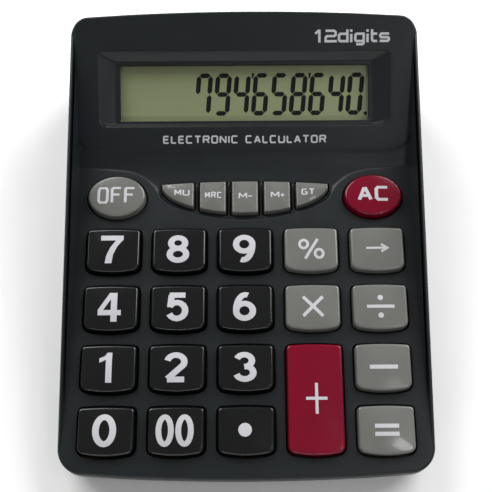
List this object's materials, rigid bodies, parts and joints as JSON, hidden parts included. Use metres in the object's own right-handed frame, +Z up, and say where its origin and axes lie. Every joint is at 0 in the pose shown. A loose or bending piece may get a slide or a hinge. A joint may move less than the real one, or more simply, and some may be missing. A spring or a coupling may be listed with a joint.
{
  "type": "desk calculator",
  "caption": "Desk calculator with a sloping keyboard deck, a steeper display head, sprung keys, a lens-shaped memory key group and a sliding battery cover.",
  "frame": {"origin": "centre of the outline, on the table under the feet", "axes": "+X to the user's right, +Y from the user towards the display head, +Z up"},
  "size_m": [0.145, 0.1866, 0.0488],
  "materials": {
    "case": "satin black-grey moulded plastic with a fine grain",
    "digit_key": "glossy black, white printed legend",
    "grey_key": "semi-gloss warm grey, white printed legend",
    "red_key": "semi-gloss crimson, white printed legend",
    "window": "clear polished plastic",
    "lcd": "grey-green twisted-nematic display",
    "reflector": "diffuse metallised foil",
    "holder": "natural white plastic",
    "ribbon": "printed flexible strip",
    "keypad_rubber": "matt grey silicone",
    "board": "phenolic circuit board",
    "epoxy": "black resin",
    "metal": "plated steel",
    "cell": "plain blue jacket",
    "foot": "black rubber",
    "red_wire": "red insulation",
    "black_wire": "black insulation"
  },
  "bodies": {
    "casing": {"top_case": "case", "bottom_case": "case", "display_window": "window", "lcd_panel": "lcd", "lcd_reflector": "reflector", "lcd_holder": "holder", "lcd_ribbon": "ribbon", "rubber_keypad": "keypad_rubber", "main_board": "board", "chip_cover": "epoxy", "capacitor": "epoxy", "aa_cell": "cell", "battery_spring": "metal", "battery_contact": "metal", "battery_lead_red": "red_wire", "battery_lead_black": "black_wire", "foot_front_left": "foot", "board_screw_front_left": "metal", "foot_front_right": "foot", "board_screw_front_right": "metal", "foot_back_left": "foot", "board_screw_back_left": "metal", "foot_back_right": "foot", "board_screw_back_right": "metal", "case_screw_front_left": "metal", "case_screw_front_right": "metal", "case_screw_middle_left": "metal", "case_screw_middle_right": "metal", "case_screw_back_left": "metal", "case_screw_back_right": "metal"},
    "key_7": {"key_7": "digit_key"},
    "key_8": {"key_8": "digit_key"},
    "key_9": {"key_9": "digit_key"},
    "key_percent": {"key_percent": "grey_key"},
    "key_back": {"key_back": "grey_key"},
    "key_4": {"key_4": "digit_key"},
    "key_5": {"key_5": "digit_key"},
    "key_6": {"key_6": "digit_key"},
    "key_times": {"key_times": "grey_key"},
    "key_divide": {"key_divide": "grey_key"},
    "key_1": {"key_1": "digit_key"},
    "key_2": {"key_2": "digit_key"},
    "key_3": {"key_3": "digit_key"},
    "key_minus": {"key_minus": "grey_key"},
    "key_0": {"key_0": "digit_key"},
    "key_00": {"key_00": "digit_key"},
    "key_point": {"key_point": "digit_key"},
    "key_equals": {"key_equals": "grey_key"},
    "key_plus": {"key_plus": "red_key"},
    "key_off": {"key_off": "grey_key"},
    "key_ac": {"key_ac": "red_key"},
    "key_mu": {"key_mu": "grey_key"},
    "key_mrc": {"key_mrc": "grey_key"},
    "key_m_minus": {"key_m_minus": "grey_key"},
    "key_m_plus": {"key_m_plus": "grey_key"},
    "key_gt": {"key_gt": "grey_key"},
    "battery_cover": {"battery_cover": "case"}
  },
  "joints": [
    {"name": "key_7_press", "type": "slide", "parent": "casing", "child": "key_7", "axis": [0, 0.0523, -0.9986], "range_m": [0, 0.0015], "stiffness_N_per_m": 300, "deforming": ["rubber_keypad"]},
    {"name": "key_8_press", "type": "slide", "parent": "casing", "child": "key_8", "axis": [0, 0.0523, -0.9986], "range_m": [0, 0.0015], "stiffness_N_per_m": 300, "deforming": ["rubber_keypad"]},
    {"name": "key_9_press", "type": "slide", "parent": "casing", "child": "key_9", "axis": [0, 0.0523, -0.9986], "range_m": [0, 0.0015], "stiffness_N_per_m": 300, "deforming": ["rubber_keypad"]},
    {"name": "key_percent_press", "type": "slide", "parent": "casing", "child": "key_percent", "axis": [0, 0.0523, -0.9986], "range_m": [0, 0.0015], "stiffness_N_per_m": 300, "deforming": ["rubber_keypad"]},
    {"name": "key_back_press", "type": "slide", "parent": "casing", "child": "key_back", "axis": [0, 0.0523, -0.9986], "range_m": [0, 0.0015], "stiffness_N_per_m": 300, "deforming": ["rubber_keypad"]},
    {"name": "key_4_press", "type": "slide", "parent": "casing", "child": "key_4", "axis": [0, 0.0523, -0.9986], "range_m": [0, 0.0015], "stiffness_N_per_m": 300, "deforming": ["rubber_keypad"]},
    {"name": "key_5_press", "type": "slide", "parent": "casing", "child": "key_5", "axis": [0, 0.0523, -0.9986], "range_m": [0, 0.0015], "stiffness_N_per_m": 300, "deforming": ["rubber_keypad"]},
    {"name": "key_6_press", "type": "slide", "parent": "casing", "child": "key_6", "axis": [0, 0.0523, -0.9986], "range_m": [0, 0.0015], "stiffness_N_per_m": 300, "deforming": ["rubber_keypad"]},
    {"name": "key_times_press", "type": "slide", "parent": "casing", "child": "key_times", "axis": [0, 0.0523, -0.9986], "range_m": [0, 0.0015], "stiffness_N_per_m": 300, "deforming": ["rubber_keypad"]},
    {"name": "key_divide_press", "type": "slide", "parent": "casing", "child": "key_divide", "axis": [0, 0.0523, -0.9986], "range_m": [0, 0.0015], "stiffness_N_per_m": 300, "deforming": ["rubber_keypad"]},
    {"name": "key_1_press", "type": "slide", "parent": "casing", "child": "key_1", "axis": [0, 0.0523, -0.9986], "range_m": [0, 0.0015], "stiffness_N_per_m": 300, "deforming": ["rubber_keypad"]},
    {"name": "key_2_press", "type": "slide", "parent": "casing", "child": "key_2", "axis": [0, 0.0523, -0.9986], "range_m": [0, 0.0015], "stiffness_N_per_m": 300, "deforming": ["rubber_keypad"]},
    {"name": "key_3_press", "type": "slide", "parent": "casing", "child": "key_3", "axis": [0, 0.0523, -0.9986], "range_m": [0, 0.0015], "stiffness_N_per_m": 300, "deforming": ["rubber_keypad"]},
    {"name": "key_minus_press", "type": "slide", "parent": "casing", "child": "key_minus", "axis": [0, 0.0523, -0.9986], "range_m": [0, 0.0015], "stiffness_N_per_m": 300, "deforming": ["rubber_keypad"]},
    {"name": "key_0_press", "type": "slide", "parent": "casing", "child": "key_0", "axis": [0, 0.0523, -0.9986], "range_m": [0, 0.0015], "stiffness_N_per_m": 300, "deforming": ["rubber_keypad"]},
    {"name": "key_00_press", "type": "slide", "parent": "casing", "child": "key_00", "axis": [0, 0.0523, -0.9986], "range_m": [0, 0.0015], "stiffness_N_per_m": 300, "deforming": ["rubber_keypad"]},
    {"name": "key_point_press", "type": "slide", "parent": "casing", "child": "key_point", "axis": [0, 0.0523, -0.9986], "range_m": [0, 0.0015], "stiffness_N_per_m": 300, "deforming": ["rubber_keypad"]},
    {"name": "key_equals_press", "type": "slide", "parent": "casing", "child": "key_equals", "axis": [0, 0.0523, -0.9986], "range_m": [0, 0.0015], "stiffness_N_per_m": 300, "deforming": ["rubber_keypad"]},
    {"name": "key_plus_press", "type": "slide", "parent": "casing", "child": "key_plus", "axis": [0, 0.0523, -0.9986], "range_m": [0, 0.0015], "stiffness_N_per_m": 300, "deforming": ["rubber_keypad"]},
    {"name": "key_off_press", "type": "slide", "parent": "casing", "child": "key_off", "axis": [0, 0.0523, -0.9986], "range_m": [0, 0.0015], "stiffness_N_per_m": 300, "deforming": ["rubber_keypad"]},
    {"name": "key_ac_press", "type": "slide", "parent": "casing", "child": "key_ac", "axis": [0, 0.0523, -0.9986], "range_m": [0, 0.0015], "stiffness_N_per_m": 300, "deforming": ["rubber_keypad"]},
    {"name": "key_mu_press", "type": "slide", "parent": "casing", "child": "key_mu", "axis": [0, 0.0523, -0.9986], "range_m": [0, 0.0015], "stiffness_N_per_m": 300, "deforming": ["rubber_keypad"]},
    {"name": "key_mrc_press", "type": "slide", "parent": "casing", "child": "key_mrc", "axis": [0, 0.0523, -0.9986], "range_m": [0, 0.0015], "stiffness_N_per_m": 300, "deforming": ["rubber_keypad"]},
    {"name": "key_m_minus_press", "type": "slide", "parent": "casing", "child": "key_m_minus", "axis": [0, 0.0523, -0.9986], "range_m": [0, 0.0015], "stiffness_N_per_m": 300, "deforming": ["rubber_keypad"]},
    {"name": "key_m_plus_press", "type": "slide", "parent": "casing", "child": "key_m_plus", "axis": [0, 0.0523, -0.9986], "range_m": [0, 0.0015], "stiffness_N_per_m": 300, "deforming": ["rubber_keypad"]},
    {"name": "key_gt_press", "type": "slide", "parent": "casing", "child": "key_gt", "axis": [0, 0.0523, -0.9986], "range_m": [0, 0.0015], "stiffness_N_per_m": 300, "deforming": ["rubber_keypad"]},
    {"name": "battery_cover_slide", "type": "slide", "parent": "casing", "child": "battery_cover", "axis": [0, 1, 0], "range_m": [0, 0.022]}
  ]
}
